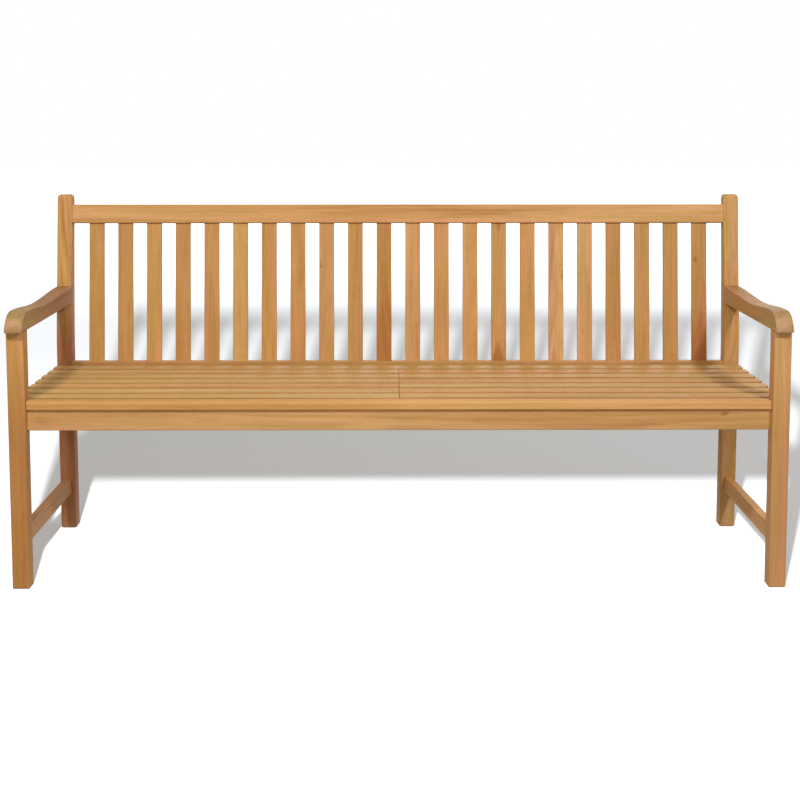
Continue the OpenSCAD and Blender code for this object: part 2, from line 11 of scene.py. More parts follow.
# %% Load the frame and note its size
import math
import random
import bpy
from mathutils import Euler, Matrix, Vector


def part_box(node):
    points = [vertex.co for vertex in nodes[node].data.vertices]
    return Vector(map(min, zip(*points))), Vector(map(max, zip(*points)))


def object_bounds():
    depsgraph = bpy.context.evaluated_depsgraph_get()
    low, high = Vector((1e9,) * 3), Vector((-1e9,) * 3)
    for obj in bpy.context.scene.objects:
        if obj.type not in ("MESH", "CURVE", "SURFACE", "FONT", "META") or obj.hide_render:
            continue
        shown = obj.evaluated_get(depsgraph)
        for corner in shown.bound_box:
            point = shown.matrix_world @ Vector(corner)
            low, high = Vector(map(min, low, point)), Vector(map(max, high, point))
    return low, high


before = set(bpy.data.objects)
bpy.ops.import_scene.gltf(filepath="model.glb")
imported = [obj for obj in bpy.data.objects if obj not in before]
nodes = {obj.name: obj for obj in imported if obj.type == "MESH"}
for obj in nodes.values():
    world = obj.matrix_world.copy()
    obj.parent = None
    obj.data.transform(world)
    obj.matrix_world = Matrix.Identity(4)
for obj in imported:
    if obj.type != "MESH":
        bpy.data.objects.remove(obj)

cad_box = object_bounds()
bpy.ops.object.select_all(action="DESELECT")
scene = bpy.context.scene
low, high = Vector(cad_box[0]), Vector(cad_box[1])
leg_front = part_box("front_leg_left")[0].y
print("pieces:", len(nodes), "size:", [round(v, 3) for v in high - low])

# %% [markdown]
# ## The camera
# The bench is seen from the front, from about chest height, with its uprights still upright.
# Tilting a camera down makes uprights lean together, so most of the downward look comes from
# a shifted lens, as on an architect's camera, and the rest from a small tilt. A longer lens
# keeps the seat's boards from spreading too much.

# %% Stand the camera in front of the bench
ASIDE, DISTANCE, EYE_HEIGHT = -0.021, 3.290, 1.097  # metres, from the front of the legs
TILT_DOWN, TURN = 5.85, -0.38  # degrees
lens = bpy.data.cameras.new("camera")
lens.lens = 65.4
lens.sensor_width = 36
lens.shift_y = -0.17
camera = bpy.data.objects.new("camera", lens)
camera.location = (ASIDE, leg_front - DISTANCE, EYE_HEIGHT)
camera.rotation_euler = (math.radians(90 - TILT_DOWN), 0, math.radians(TURN))
scene.collection.objects.link(camera)
scene.camera = camera
scene.view_settings.view_transform = "Standard"
print("camera at", [round(v, 3) for v in camera.location])

# %% [markdown]
# ## Small helpers for materials
# A material is a small graph of nodes. Writing each node out takes many lines, so one helper
# places a node, sets its plain values and links the sockets that are fed by other nodes. The
# graphs below then read like a recipe.

# %% A helper that places a node
def feed(tree, socket, value):
    """Links a socket to another node's output, or gives it a plain value."""
    if isinstance(value, bpy.types.NodeSocket):
        tree.links.new(value, socket)
    else:
        socket.default_value = value


def put(tree, kind, settings=None, **sockets):
    """Places a node. A socket goes by its name, or by an underscore and its number."""
    made = tree.nodes.new("ShaderNode" + kind)
    for name, value in (settings or {}).items():
        setattr(made, name, value)
    for name, value in sockets.items():
        key = int(name[1:]) if name[0] == "_" else name.replace("_", " ")
        feed(tree, made.inputs[key], value)
    return made


def maths(tree, operation, *values):
    sockets = {f"_{i}": value for i, value in enumerate(values)}
    return put(tree, "Math", {"operation": operation}, **sockets).outputs[0]


def vector_maths(tree, operation, *values, **sockets):
    sockets.update({f"_{i}": value for i, value in enumerate(values)})
    return put(tree, "VectorMath", {"operation": operation}, **sockets).outputs


print("helpers: feed, put, maths, vector_maths")

# %% Helpers that spread, mix and measure
def spread(tree, value, from_low, from_high, to_low=0.0, to_high=1.0, smooth=False):
    kind = "SMOOTHSTEP" if smooth else "LINEAR"
    return put(tree, "MapRange", {"interpolation_type": kind}, Value=value, _1=from_low,
               _2=from_high, _3=to_low, _4=to_high).outputs[0]


def mix_numbers(tree, share, first, second):
    return put(tree, "Mix", {"data_type": "FLOAT"}, _0=share, _2=first, _3=second).outputs[0]


def mix_colours(tree, share, first, second, mode="MIX"):
    return put(tree, "Mix", {"data_type": "RGBA", "blend_type": mode}, _0=share, _6=first,
               _7=second).outputs[2]


def own_place(tree):
    """The piece's own coordinates, in metres."""
    return put(tree, "TexCoord").outputs["Object"]


print("helpers: spread, mix_numbers, mix_colours, own_place")

# %% Helpers for colours and materials
def tint(red, green, blue):
    """A colour as a painter's chart gives it, 0 to 255, turned into the light it sends back."""
    parts = [c / 255 for c in (red, green, blue)]
    return tuple(c / 12.92 if c < 0.04 else ((c + 0.055) / 1.055) ** 2.4 for c in parts) + (1,)


def new_material(name):
    made = bpy.data.materials.new(name)
    made.use_nodes = True
    made.node_tree.nodes.clear()
    return made


def dress(piece, finish):
    piece.data.materials.clear()
    piece.data.materials.append(finish)


print("mid grey sends back", round(tint(128, 128, 128)[0], 3), "of the light")

# %% [markdown]
# ## The floor and the light on it
# A studio floor is painted white and swept up into a white wall, so that nothing distracts from
# the bench but its own soft shadow. A curved sheet would do it, but a flat floor that brightens
# into a white world far away shows no edge from any side. For the camera the floor glows a
# little, so that it stays white in the light and soft grey in the shadow, while the bench sees
# a duller floor and isn't lit too strongly from below.

# %% Tell looking from lighting
def looked_at(tree):
    """1 where a surface is looked at, straight or in a reflection, and 0 where it only lights."""
    path = put(tree, "LightPath").outputs
    seen = maths(tree, "MAXIMUM", path["Is Camera Ray"], path["Is Glossy Ray"])
    return maths(tree, "MAXIMUM", seen, path["Is Transmission Ray"])


print("the floor and the world both use this test")

# %% Lay the floor
FLOOR_SIZE = 60  # metres
bpy.ops.mesh.primitive_plane_add(size=FLOOR_SIZE, location=(0, 0, low.z))
floor = bpy.context.active_object
floor.name = "studio_floor"
white = new_material("white floor")
dress(floor, white)
print("floor laid at height", round(low.z, 4))

# %% Find how far the floor has brightened
GLOW_NEAR = (0.225, 0.290)  # at the left and at the right end of the bench
BRIGHTENS_ROUND = (2.2, 7.2)  # from and to, in metres from the middle of the bench
BRIGHTENS_AHEAD, BRIGHTENS_BESIDE = (-1.5, -3.5), (2.4, 4.4)
LATENESS = 3.0  # a higher power keeps the shadow grey further out
tree = white.node_tree
place = own_place(tree)
away = vector_maths(tree, "LENGTH", place)["Value"]
far = maths(tree, "POWER", spread(tree, away, *BRIGHTENS_ROUND, smooth=True), LATENESS)
across, behind, _ = put(tree, "SeparateXYZ", Vector=place).outputs
for distance, reach in [(behind, BRIGHTENS_AHEAD),
                        (maths(tree, "ABSOLUTE", across), BRIGHTENS_BESIDE)]:
    far = maths(tree, "MAXIMUM", far, spread(tree, distance, *reach, smooth=True))
near = spread(tree, across, low.x, high.x, *GLOW_NEAR)
lift = mix_numbers(tree, far, near, 1.0)
print("the floor is all white from", max(BRIGHTENS_ROUND), "metres away")

# %% Paint the floor
paint = put(tree, "BsdfDiffuse", Color=(0.87, 0.92, 0.98, 1)).outputs[0]
glow = put(tree, "Emission", Color=(1.0, 1.05, 1.17, 1), Strength=lift).outputs[0]
seen = put(tree, "AddShader", _0=paint, _1=glow).outputs[0]
dull = put(tree, "BsdfDiffuse", Color=(0.25, 0.25, 0.25, 1)).outputs[0]
either = put(tree, "MixShader", Fac=looked_at(tree), _1=dull, _2=seen).outputs[0]
put(tree, "OutputMaterial", Surface=either)
print("floor painted with", len(tree.nodes), "nodes")

# %% [markdown]
# ## The world around
# In a studio the light in the shade comes back from white walls, and the world stands in for
# them. As bright as white paper it would wash out the wood. A grey world would spoil the white
# ground. So it is white where it is looked at, and lights the bench at about a quarter of that,
# a little warm.

# %% Make the world white, and softer as a light than as a background
SOFT_LEVEL, WHITE_LEVEL = 0.27, 1.0
world = bpy.data.worlds.new("studio")
world.use_nodes = True
world.node_tree.nodes.clear()
tree = world.node_tree
soft = put(tree, "Background", Color=(1.0, 0.87, 0.65, 1), Strength=SOFT_LEVEL).outputs[0]
sky = put(tree, "Background", Color=(1, 1, 1, 1), Strength=WHITE_LEVEL).outputs[0]
either = put(tree, "MixShader", Fac=looked_at(tree), _1=soft, _2=sky).outputs[0]
put(tree, "OutputWorld", Surface=either)
scene.world = world
print("world lights at", SOFT_LEVEL, "and shows at", WHITE_LEVEL)

# %% [markdown]
# ## The lamps
# Two lamps light the wood from the front, as on a stage. A small cool one stands to the right
# and throws a clear shadow of the right arm across the seat, and one of nearly its size stands
# in front of the left arm. A weak warm one fills the shade, so that it stays a full brown, and a
# wide one behind keeps the back of the bench from going dull. A fifth lamp, in front and a
# little above the bench, lights only the floor and throws the soft shadow on it. It is kept
# from fading, so that the floor behind is as white as in front. One lamp could do all of this
# in a real studio, but then the wood's light and the floor's shadow would change together.
# Blender's light linking keeps each lamp to its own receivers.

# %% A helper that hangs a lamp
wood_lit = bpy.data.collections.new("lit wood")
floor_lit = bpy.data.collections.new("lit floor")
floor_lit.objects.link(floor)


def lamp(name, target, towards, size, level, lights, colour=(1.0, 1.0, 1.0)):
    """Hangs a round lamp that lies towards the vector from its target, and looks back at it.
    size is its width in metres, and a level of 1 shows what faces it about as it is coloured."""
    data = bpy.data.lights.new(name, "AREA")
    data.shape = "DISK"
    data.size = size
    data.color = colour
    data.energy = level * math.pi * math.pi * Vector(towards).length_squared
    made = bpy.data.objects.new(name, data)
    made.location = Vector(target) + Vector(towards)
    made.rotation_euler = Vector(towards).to_track_quat("Z", "Y").to_euler()
    scene.collection.objects.link(made)
    made.light_linking.receiver_collection = lights
    made.visible_camera = False
    return made


print("the lamps light", wood_lit.name, "or", floor_lit.name)

# %% Hang the lamps
COOL, MILD, WARM = (0.96, 1.0, 1.13), (1.0, 0.98, 0.91), (1.0, 0.90, 0.73)
middle = (low + high) / 2
arms = {side: sum(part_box(f"arm_{side}"), Vector()) / 2 for side in ("left", "right")}
lamps = [lamp("key_lamp", arms["right"], (0.81, -2.52, 2.0), 0.30, 0.50, wood_lit, COOL),
         lamp("side_lamp", arms["left"], (-0.26, -2.0, 2.0), 0.28, 0.50, wood_lit, MILD),
         lamp("fill_lamp", middle, (0.0, -4.5, 1.0), 1.2, 0.14, wood_lit, WARM),
         lamp("back_lamp", middle, (1.0, 6.0, 2.2), 4.0, 0.27, wood_lit)]
print("lamps on the wood:", [made.name for made in lamps])

# %% Hang the floor's lamp, and keep it from fading with distance
FLOOR_LEVEL = 2.5
shade_from = (-0.333, leg_front - 3.6, 1.72)
shade_lamp = lamp("floor_lamp", (0, 0, 0), shade_from, 0.12, 1.0, floor_lit).data
shade_lamp.shape = "ELLIPSE"
shade_lamp.size_y = 0.20
shade_lamp.energy = math.pi * math.pi
shade_lamp.use_nodes = True
tree = shade_lamp.node_tree
tree.nodes.clear()
steady = put(tree, "LightFalloff", Strength=FLOOR_LEVEL).outputs["Constant"]
put(tree, "OutputLight", Surface=put(tree, "Emission", Strength=steady).outputs[0])
print("floor lamp level", FLOOR_LEVEL)

# %% [markdown]
# ## Teak
# Sawn teak is a slice through a log. The growth rings are cylinders round the log's heart, and
# a board shows straight lines where it is cut across them and arches where it is cut along
# them. Over that lie fine fibres, dark open pores and broad streaks from gold to red brown.
# A flat picture of boards could be wrapped on, but it would break at every edge. Building the
# whole log in three dimensions and cutting each board out of its own place makes faces, edges
# and end grain agree, so that is the way taken here. One node group holds the log.

# %% Helpers that open, close and place a node group
def open_group(name, takes, gives):
    """Makes a node group, and gives it back with the outputs of its input node."""
    made = bpy.data.node_groups.new(name, "ShaderNodeTree")
    for title, kind, value in takes:
        socket = made.interface.new_socket(title, in_out="INPUT", socket_type="NodeSocket" + kind)
        socket.default_value = value
    for title, kind in gives:
        made.interface.new_socket(title, in_out="OUTPUT", socket_type="NodeSocket" + kind)
    return made, made.nodes.new("NodeGroupInput").outputs


def close_group(group, results):
    out = group.nodes.new("NodeGroupOutput")
    for title, socket in results.items():
        group.links.new(socket, out.inputs[title])
    print(group.name, "gives", ", ".join(results))


def place_group(tree, group, inputs):
    made = tree.nodes.new("ShaderNodeGroup")
    made.node_tree = group
    for title, value in inputs.items():
        feed(tree, made.inputs[title], value)
    return made.outputs


print("groups are opened, closed and placed by name")

# %% Open the group for the log
log, given = open_group(
    "teak log",
    [("Log", "Vector", (0, 0, 0)), ("Tone", "Color", tint(197, 146, 90)),
     ("End Grain", "Float", 0.0), ("Ring Width", "Float", 0.006),
     ("Ring Contrast", "Float", 0.5), ("Wander", "Float", 0.012), ("Streaks", "Float", 0.6)],
    [("Color", "Color"), ("Roughness", "Float"), ("Height", "Float")])
print("the log takes", [socket.name for socket in given if socket.name])

# %% [markdown]
# ## Layers of grain
# The fibres of a tree run along its trunk, so every pattern in its wood is drawn out that way:
# wide zones, patches, bands, streaks, fibres and pores. Painted lines would repeat, and plain
# noise is as wide as it is long. Noise that is stretched along the trunk gives all six layers,
# from nine waves a metre to eighteen hundred.

# %% Noise drawn out along the trunk, which is the log's Z
def drawn_noise(across, along, detail=2.0, shift=0.0):
    """Noise with so many waves a metre across the trunk and along it."""
    stretched = vector_maths(log, "MULTIPLY_ADD", given["Log"], (across, across, along),
                             (shift, shift, shift))[0]
    return put(log, "TexNoise", Vector=stretched, Scale=1.0, Detail=detail,
               Roughness=0.55).outputs


zones = drawn_noise(across=9, along=0.8, detail=1.0)["Fac"]
patches = drawn_noise(across=42, along=4.5, shift=5.3)["Fac"]
bands = drawn_noise(across=85, along=1.2, shift=9.1)["Fac"]
streaks = drawn_noise(across=150, along=1.0, detail=3.0, shift=7.3)["Fac"]
fibres = drawn_noise(across=800, along=6, shift=2.1)["Fac"]
pores = drawn_noise(across=1800, along=45, detail=1.0, shift=4.7)["Fac"]
print("six layers of grain")

# %% [markdown]
# ## Growth rings
# A ring is one year's wood: it starts with a dark line of pores and fades until the next. A
# wave texture can draw rings, but they come out too even. Here the distance from the heart is
# divided by the width of a ring, and noise pushes it about, so that the rings crowd, part and
# wander as in a real trunk.

# %% Count the rings out from the heart
UNEVEN = 0.7  # rings
sway = drawn_noise(across=5, along=1.6, shift=11.0)["Color"]
sway = vector_maths(log, "SUBTRACT", sway, (0.5, 0.5, 0.5))[0]
sway = vector_maths(log, "SCALE", sway, Scale=given["Wander"])[0]
swayed = vector_maths(log, "ADD", given["Log"], sway)[0]
flat = vector_maths(log, "MULTIPLY", swayed, (1, 1, 0))[0]
radius = vector_maths(log, "LENGTH", flat)["Value"]
rings = maths(log, "DIVIDE", radius, given["Ring Width"])
uneven = spread(log, drawn_noise(across=45, along=1.5, detail=1.0, shift=3.0)["Fac"], 0, 1,
                -UNEVEN, UNEVEN)
phase = maths(log, "FRACT", maths(log, "ADD", rings, uneven))
print("rings wander up to", UNEVEN, "of a ring")

# %% Shade each ring from its dark line to the next
# The share of the way to the next line, and how dark the ring is there.
RING_SHADES = {0.0: 0.6, 0.08: 1.0, 0.3: 0.5, 0.6: 0.12, 0.88: 0.0, 1.0: 0.6}
ring = put(log, "ValToRGB", Fac=phase)
curve = ring.color_ramp.elements
for at, dark in RING_SHADES.items():
    step = curve[0] if at == 0 else curve[-1] if at == 1 else curve.new(at)
    step.color = (dark, dark, dark, 1)
ring = maths(log, "MULTIPLY", ring.outputs["Color"], given["Ring Contrast"])
come_and_go = spread(log, drawn_noise(across=22, along=1.2, detail=1.0, shift=6.4)["Fac"],
                     0.38, 0.62, 0.25, 1.0, smooth=True)
ring = maths(log, "MULTIPLY", ring, come_and_go)
print("rings:", len(curve), "steps from one dark line to the next")

# %% [markdown]
# ## Colour from the layers
# Fresh teak runs from olive gold to rosy brown within one board. A colour ramp could hold those
# colours, but then every board would share them. So each board has a tone of its own, and the
# layers only multiply it by their shares of red, green and blue.

# %% Name the wood's shades, as shares of a board's own tone
DEEP_ZONE, BRIGHT_ZONE = (1.11, 1.15, 1.14, 1), (1.25, 1.40, 1.50, 1)
DIM_PATCH, PALE_PATCH = (0.89, 0.88, 0.80, 1), (1.08, 1.07, 1.12, 1)
OLIVE_BAND, ROSY_BAND = (0.92, 0.99, 0.74, 1), (1.08, 0.99, 1.22, 1)
DARK_STREAK, RING_LINE = (0.76, 0.63, 0.50, 1), (0.72, 0.60, 0.48, 1)
FIBRE, PORE, CUT_END = (0.92, 0.89, 0.84, 1), (0.60, 0.50, 0.40, 1), (0.66, 0.58, 0.50, 1)
print("a dark streak keeps", DARK_STREAK[:3], "of the red, green and blue")

# %% Lay the layers over the board's own tone
def over(base, mask, shade):
    return mix_colours(log, mask, base, shade, "MULTIPLY")


def either_shade(noise, start, stop, first, second):
    return mix_colours(log, spread(log, noise, start, stop, smooth=True), first, second)


colour = over(given["Tone"], 1.0, either_shade(zones, 0.33, 0.67, DEEP_ZONE, BRIGHT_ZONE))
colour = over(colour, given["Streaks"], either_shade(patches, 0.34, 0.66, DIM_PATCH, PALE_PATCH))
colour = over(colour, given["Streaks"], either_shade(bands, 0.36, 0.64, OLIVE_BAND, ROSY_BAND))
gathered = spread(log, zones, 0.40, 0.62, 1.0, 0.35, smooth=True)
dark_streak = maths(log, "MULTIPLY", spread(log, streaks, 0.51, 0.70, smooth=True),
                    maths(log, "MULTIPLY", gathered, given["Streaks"]))
colour = over(colour, dark_streak, DARK_STREAK)
colour = over(colour, ring, RING_LINE)
colour = over(colour, spread(log, fibres, 0.35, 0.70), FIBRE)
pore_mask = spread(log, pores, 0.60, 0.72)
colour = over(colour, maths(log, "MULTIPLY", pore_mask, 0.4), PORE)
colour = over(colour, given["End Grain"], CUT_END)
print("colour layered")

# %% [markdown]
# ## Sheen and surface
# Sanded teak is nearly matt, and its open pores hold a little shade. Modelling them would take
# millions of faces, so they only lower a bump and roughen the sheen, and the fibres between
# them stand a hair higher.

# %% Let fibres and pores touch the sheen and the surface
SMOOTHEST, ROUGHEST, ROUGHER_PORE = 0.56, 0.68, 0.12
FIBRE_RISE, PORE_DEPTH, RING_DEPTH = 0.6, 0.8, 0.25
gloss = spread(log, fibres, 0.3, 0.7, SMOOTHEST, ROUGHEST)
gloss = maths(log, "ADD", gloss, maths(log, "MULTIPLY", pore_mask, ROUGHER_PORE))
relief = maths(log, "SUBTRACT", maths(log, "MULTIPLY", fibres, FIBRE_RISE),
               maths(log, "MULTIPLY", pore_mask, PORE_DEPTH))
relief = maths(log, "SUBTRACT", relief, maths(log, "MULTIPLY", ring, RING_DEPTH))
close_group(log, {"Color": colour, "Roughness": gloss, "Height": relief})

# %% [markdown]
# ## Knots and flames
# Where a branch left the trunk, the grain flows round a darker spot, and where a ring just
# grazes the face of a board it leaves a pointed flame. The log model could hold every branch,
# but only a few boards show one, so a second group marks a single place: it stains the wood
# there and spreads the grain around it. Its middle and reach are in the piece's own metres.
# A knot is round and ragged, and a flame is pointed and smooth.

# %% Open the group for one knot or flame
KNOT, FLAME = 0.0, 1.0
figure, asked = open_group(
    "knot or flame",
    [("Vector", "Vector", (0, 0, 0)), ("Middle", "Vector", (0, 0, 0)),
     ("Reach", "Vector", (0.01, 0.01, 0.01)), ("Pointed", "Float", KNOT),
     ("Depth", "Float", 0.6)],
    [("Vector", "Vector"), ("Stain", "Float")])
print("a knot takes", [socket.name for socket in asked if socket.name])

# %% Measure how far out a place is, with a ragged edge
RAGGED, SMOOTHED = 0.8, 0.85
offset = vector_maths(figure, "SUBTRACT", asked["Vector"], asked["Middle"])[0]
scaled = vector_maths(figure, "DIVIDE", offset, asked["Reach"])[0]
speckle = put(figure, "TexNoise", Vector=asked["Vector"], Scale=230, Detail=3).outputs
ragged = vector_maths(figure, "MULTIPLY_ADD", speckle["Color"], (2 * RAGGED,) * 3,
                      (-RAGGED,) * 3)[0]
rough = maths(figure, "SUBTRACT", 1.0, maths(figure, "MULTIPLY", asked["Pointed"], SMOOTHED))
scaled = vector_maths(figure, "ADD", scaled,
                      vector_maths(figure, "SCALE", ragged, Scale=rough)[0])[0]
round_out = vector_maths(figure, "LENGTH", scaled)["Value"]
sides = put(figure, "SeparateXYZ", Vector=vector_maths(figure, "ABSOLUTE", scaled)[0]).outputs
point_out = maths(figure, "ADD", maths(figure, "ADD", sides[0], sides[1]), sides[2])
out = mix_numbers(figure, asked["Pointed"], round_out, point_out)
print("a flame keeps", round(1 - SMOOTHED, 2), "of a knot's raggedness")

# %% Stain the wood and bend the grain around
inside = spread(figure, out, 1.1, 0.5, smooth=True)
gaps = maths(figure, "MULTIPLY",
             spread(figure, speckle["Fac"], 0.35, 0.6, 0.55, 0.0, smooth=True), rough)
patchy = maths(figure, "SUBTRACT", 1.0, gaps)
stain = maths(figure, "MULTIPLY", maths(figure, "MULTIPLY", inside, patchy), asked["Depth"])
pull = spread(figure, out, 2.6, 0.4, 0.0, 0.6, smooth=True)
bent = vector_maths(figure, "SUBTRACT", asked["Vector"],
                    vector_maths(figure, "SCALE", offset, Scale=pull)[0])[0]
close_group(figure, {"Vector": bent, "Stain": stain})

# %% [markdown]
# ## A board cut from the log
# Each piece of wood comes from its own place in a log, so each gets its own material. It holds
# where the log's heart lies beside the piece and which way the trunk runs, which is along the
# piece. A Mapping node carries the piece's own coordinates into the log. A heart behind the
# wide face gives arches on it, and a heart beside it gives straight lines. One material for all
# the wood would be shorter, but then boards that meet would look sawn from one block.

# %% The tones of the boards
chance = random.Random(11)
TONES = {"cream": tint(199, 152, 99), "straw": tint(198, 147, 90), "wheat": tint(193, 151, 94),
         "honey": tint(195, 145, 87), "gold": tint(190, 142, 86), "copper": tint(190, 138, 82),
         "amber": tint(185, 136, 82), "toffee": tint(185, 133, 79),
         "chestnut": tint(187, 132, 83), "pale": tint(179, 142, 99), "fawn": tint(172, 134, 90),
         "sand": tint(195, 145, 92), "oat": tint(203, 153, 102), "nut": tint(179, 131, 77),
         "apricot": tint(214, 154, 90), "clay": tint(199, 147, 88)}
print("tones:", ", ".join(TONES))

# %% Helpers for what changes over one board
def stand_in_log(piece, along, heart, lean, slant):
    """The log's place, turn and trunk direction for a piece, each a little off by chance."""
    turn = Euler({"x": (0, math.pi / 2, 0), "y": (-math.pi / 2, 0, 0), "z": (0, 0, 0)}[along])
    turn.x += lean + math.radians(chance.uniform(-0.5, 0.5))
    turn.y += math.radians(slant + chance.uniform(-0.4, 0.4))
    turn.z += math.radians(chance.uniform(-0.5, 0.5))
    start = sum(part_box(piece.name), Vector()) / 2 + Vector(heart)
    trunk = Vector((0, 0, 1))
    trunk.rotate(turn)
    return start + trunk * chance.uniform(3, 40), turn, trunk


def add_figures(tree, place, figures):
    """Passes the place through each knot or flame, and keeps the deepest stain."""
    stain = None
    for middle, reach, pointed, depth in figures:
        mark = place_group(tree, figure, {"Vector": place, "Middle": middle, "Reach": reach,
                                          "Pointed": pointed, "Depth": depth})
        place = mark["Vector"]
        stain = maths(tree, "MAXIMUM", stain, mark["Stain"]) if stain else mark["Stain"]
    return place, stain


def face_mask(tree, normal, faces):
    """Picks the faces that look along one axis: none up to the first cosine, all from the
    second. Gives the mask and the tint for them."""
    if not faces:
        return None, None
    axis, none_yet, all_of_it, face_tint = faces
    part = put(tree, "SeparateXYZ", Vector=normal).outputs[axis]
    looks = maths(tree, "ABSOLUTE", part)
    return spread(tree, looks, none_yet, all_of_it, smooth=True), face_tint


print("helpers: stand_in_log, add_figures, face_mask")

# %% A finish for one piece
BROWN = (0.64, 0.53, 0.42, 1)
END_FROM, END_TO, END_DEPTH = 0.75, 0.95, 0.8  # cosines to the trunk, and the darkest share


def teak(piece, along, heart, tone="honey", lean=0.0, slant=0.0, ring_width=0.006,
         contrast=0.5, wander=0.012, streaks=0.7, figures=(), mark_tint=BROWN, faces=None):
    """Dresses a piece. heart is how far the log's heart lies from the piece's middle, figures
    lists its knots and flames as middle, reach, pointed and depth, and faces gives a tint of
    their own to the faces that look along one axis."""
    made = new_material("teak " + piece.name)
    tree = made.node_tree
    start, turn, trunk = stand_in_log(piece, along, heart, lean, slant)
    place, stain = add_figures(tree, own_place(tree), figures)
    in_log = put(tree, "Mapping", {"vector_type": "TEXTURE"}, Vector=place,
                 Location=start, Rotation=turn).outputs[0]
    normal = put(tree, "NewGeometry").outputs["Normal"]
    facing = vector_maths(tree, "DOT_PRODUCT", normal, trunk)["Value"]
    end = spread(tree, maths(tree, "ABSOLUTE", facing), END_FROM, END_TO, 0.0, END_DEPTH)
    shown = TONES[tone]
    for mask, own_tint in ((stain, mark_tint), face_mask(tree, normal, faces)):
        if mask:
            shown = mix_colours(tree, mask, shown, own_tint, "MULTIPLY")
    wood = place_group(tree, log, {"Log": in_log, "End Grain": end, "Tone": shown,
                                   "Ring Width": ring_width, "Ring Contrast": contrast,
                                   "Wander": wander, "Streaks": streaks})
    bump = put(tree, "Bump", Strength=0.35, Distance=0.0005, Height=wood["Height"])
    skin = put(tree, "BsdfPrincipled", Base_Color=wood["Color"], Roughness=wood["Roughness"],
               Normal=bump.outputs[0], Specular_IOR_Level=0.2)
    put(tree, "OutputMaterial", Surface=skin.outputs[0])
    dress(piece, made)


print("teak can be cut along x, y or z")

# %% [markdown]
# ## The back slats
# Twenty-two upright slats lean back with the posts. They are planed from many boards, so no two
# match, and a few show a knot or a flame. One tone with random changes would be quick, but a
# real back has its red board and its pale ones in places of their own. So each slat is given
# its tone by name, the grain is left to chance, and the marks are set one by one.

# %% A helper for marks on a slat
def on_slat(number, across, up, wide, tall, pointed, depth):
    """A knot or flame on a slat's front face, placed by its share of the slat's width and
    height. It reaches right through the slat."""
    foot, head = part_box(f"back_slat_{number}")
    face = foot.y + up * (head.y - foot.y)
    middle = (foot.x + across * (head.x - foot.x), face, foot.z + up * (head.z - foot.z))
    return middle, (wide, 0.08, tall), pointed, depth


marks = {9: [(0.15, 0.68, 0.005, 0.010, KNOT, 0.8)],
         11: [(0.60, 0.15, 0.050, 0.240, FLAME, 0.60), (0.20, 0.00, 0.022, 0.090, FLAME, 1.00)],
         13: [(0.50, -0.02, 0.022, 0.050, FLAME, 0.35)],
         15: [(0.48, 1.00, 0.018, 0.060, FLAME, 0.80), (0.45, 0.00, 0.028, 0.085, FLAME, 1.00)],
         17: [(0.93, 0.60, 0.006, 0.022, KNOT, 0.9), (0.35, 0.00, 0.014, 0.065, FLAME, 0.55)],
         # Slat 22's low flame is partly red wood and partly painted shade, where the right arm's
         # shadow falls on the slat.
         22: [(0.25, 0.72, 0.007, 0.009, KNOT, 1.0), (0.60, 0.08, 0.060, 0.170, FLAME, 0.80)]}
print("slats with a knot or flame:", sorted(marks))

# %% Dress the back slats
back_tones = ("gold amber honey toffee gold cream copper copper amber gold toffee "
              "cream straw honey amber honey cream cream toffee gold amber amber").split()
SLANTS = {4: 2.4, 7: -1.5, 15: 1.0}
HEARTS = [(0.12, 0.02, 0), (-0.10, 0.03, 0), (0.05, 0.10, 0), (0.015, 0.09, 0)]
RED_FLAMES_AND_SHADE, RED, OLIVE = (11, 22), (0.74, 0.50, 0.40, 1), (0.66, 0.55, 0.36, 1)
foot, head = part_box("back_slat_1")
slat_lean = math.atan2(head.y - foot.y, head.z - foot.z)
for i, tone in enumerate(back_tones, 1):
    heart = chance.choice(HEARTS)
    teak(nodes[f"back_slat_{i}"], "z", heart, tone, lean=-slat_lean,
         slant=SLANTS.get(i, chance.uniform(-0.6, 0.6)), ring_width=chance.uniform(0.004, 0.009),
         contrast=chance.uniform(0.25, 0.5), streaks=0.55,
         figures=[on_slat(i, *mark) for mark in marks.get(i, ())],
         mark_tint=RED if i in RED_FLAMES_AND_SHADE else OLIVE)
print("back slats:", len(back_tones), "leaning by", round(math.degrees(slat_lean), 1), "degrees")

# %% [markdown]
# ## The seat
# The seat is a row of narrow boards, each in two halves that meet over a bearer, behind a rounded
# nosing in one length. The faces of the boards that look forward or back, across the gaps, are
# painted a darker brown for the shade in the gaps. Two materials on a board would need its mesh
# to be split, so the finish reads which way a face looks and darkens those that look forward or
# back.

# %% Dress the seat
# Painted shade: faces that look forward or back, into the gaps between the boards, are darkened.
GAP_SHADE = ("Y", 0.35, 0.75, (0.72, 0.60, 0.46, 1))
halves = [(i, side) for i in range(1, 7) for side in ("left", "right")]
for i, side in halves:
    tone = chance.choice(["wheat", "wheat", "gold", "honey"])
    teak(nodes[f"seat_slat_{i}_{side}"], "x", (0, chance.uniform(0.05, 0.12), 0.03), tone,
         slant=chance.uniform(-0.6, 0.6), ring_width=chance.uniform(0.004, 0.007), streaks=0.55,
         faces=GAP_SHADE)
teak(nodes["rear_seat_slat"], "x", (0, 0.1, 0.04), "wheat", ring_width=0.005, streaks=0.5,
     faces=GAP_SHADE)
teak(nodes["seat_nosing"], "x", (0, 0.1, 0.04), "clay", ring_width=0.005, contrast=0.3,
     streaks=0.3)
print("seat boards:", len(halves) + 2)

# %% [markdown]
# ## The long rails
# The front rail, the top rail and the lower back rail run the whole length between the end
# frames, and a bearer carries the middle of the seat. A long rail shows more of its log than a
# short board does, so the rings of the front and the top rail wander more, which the same
# finish gives with one changed value. The front rail has two small knots.

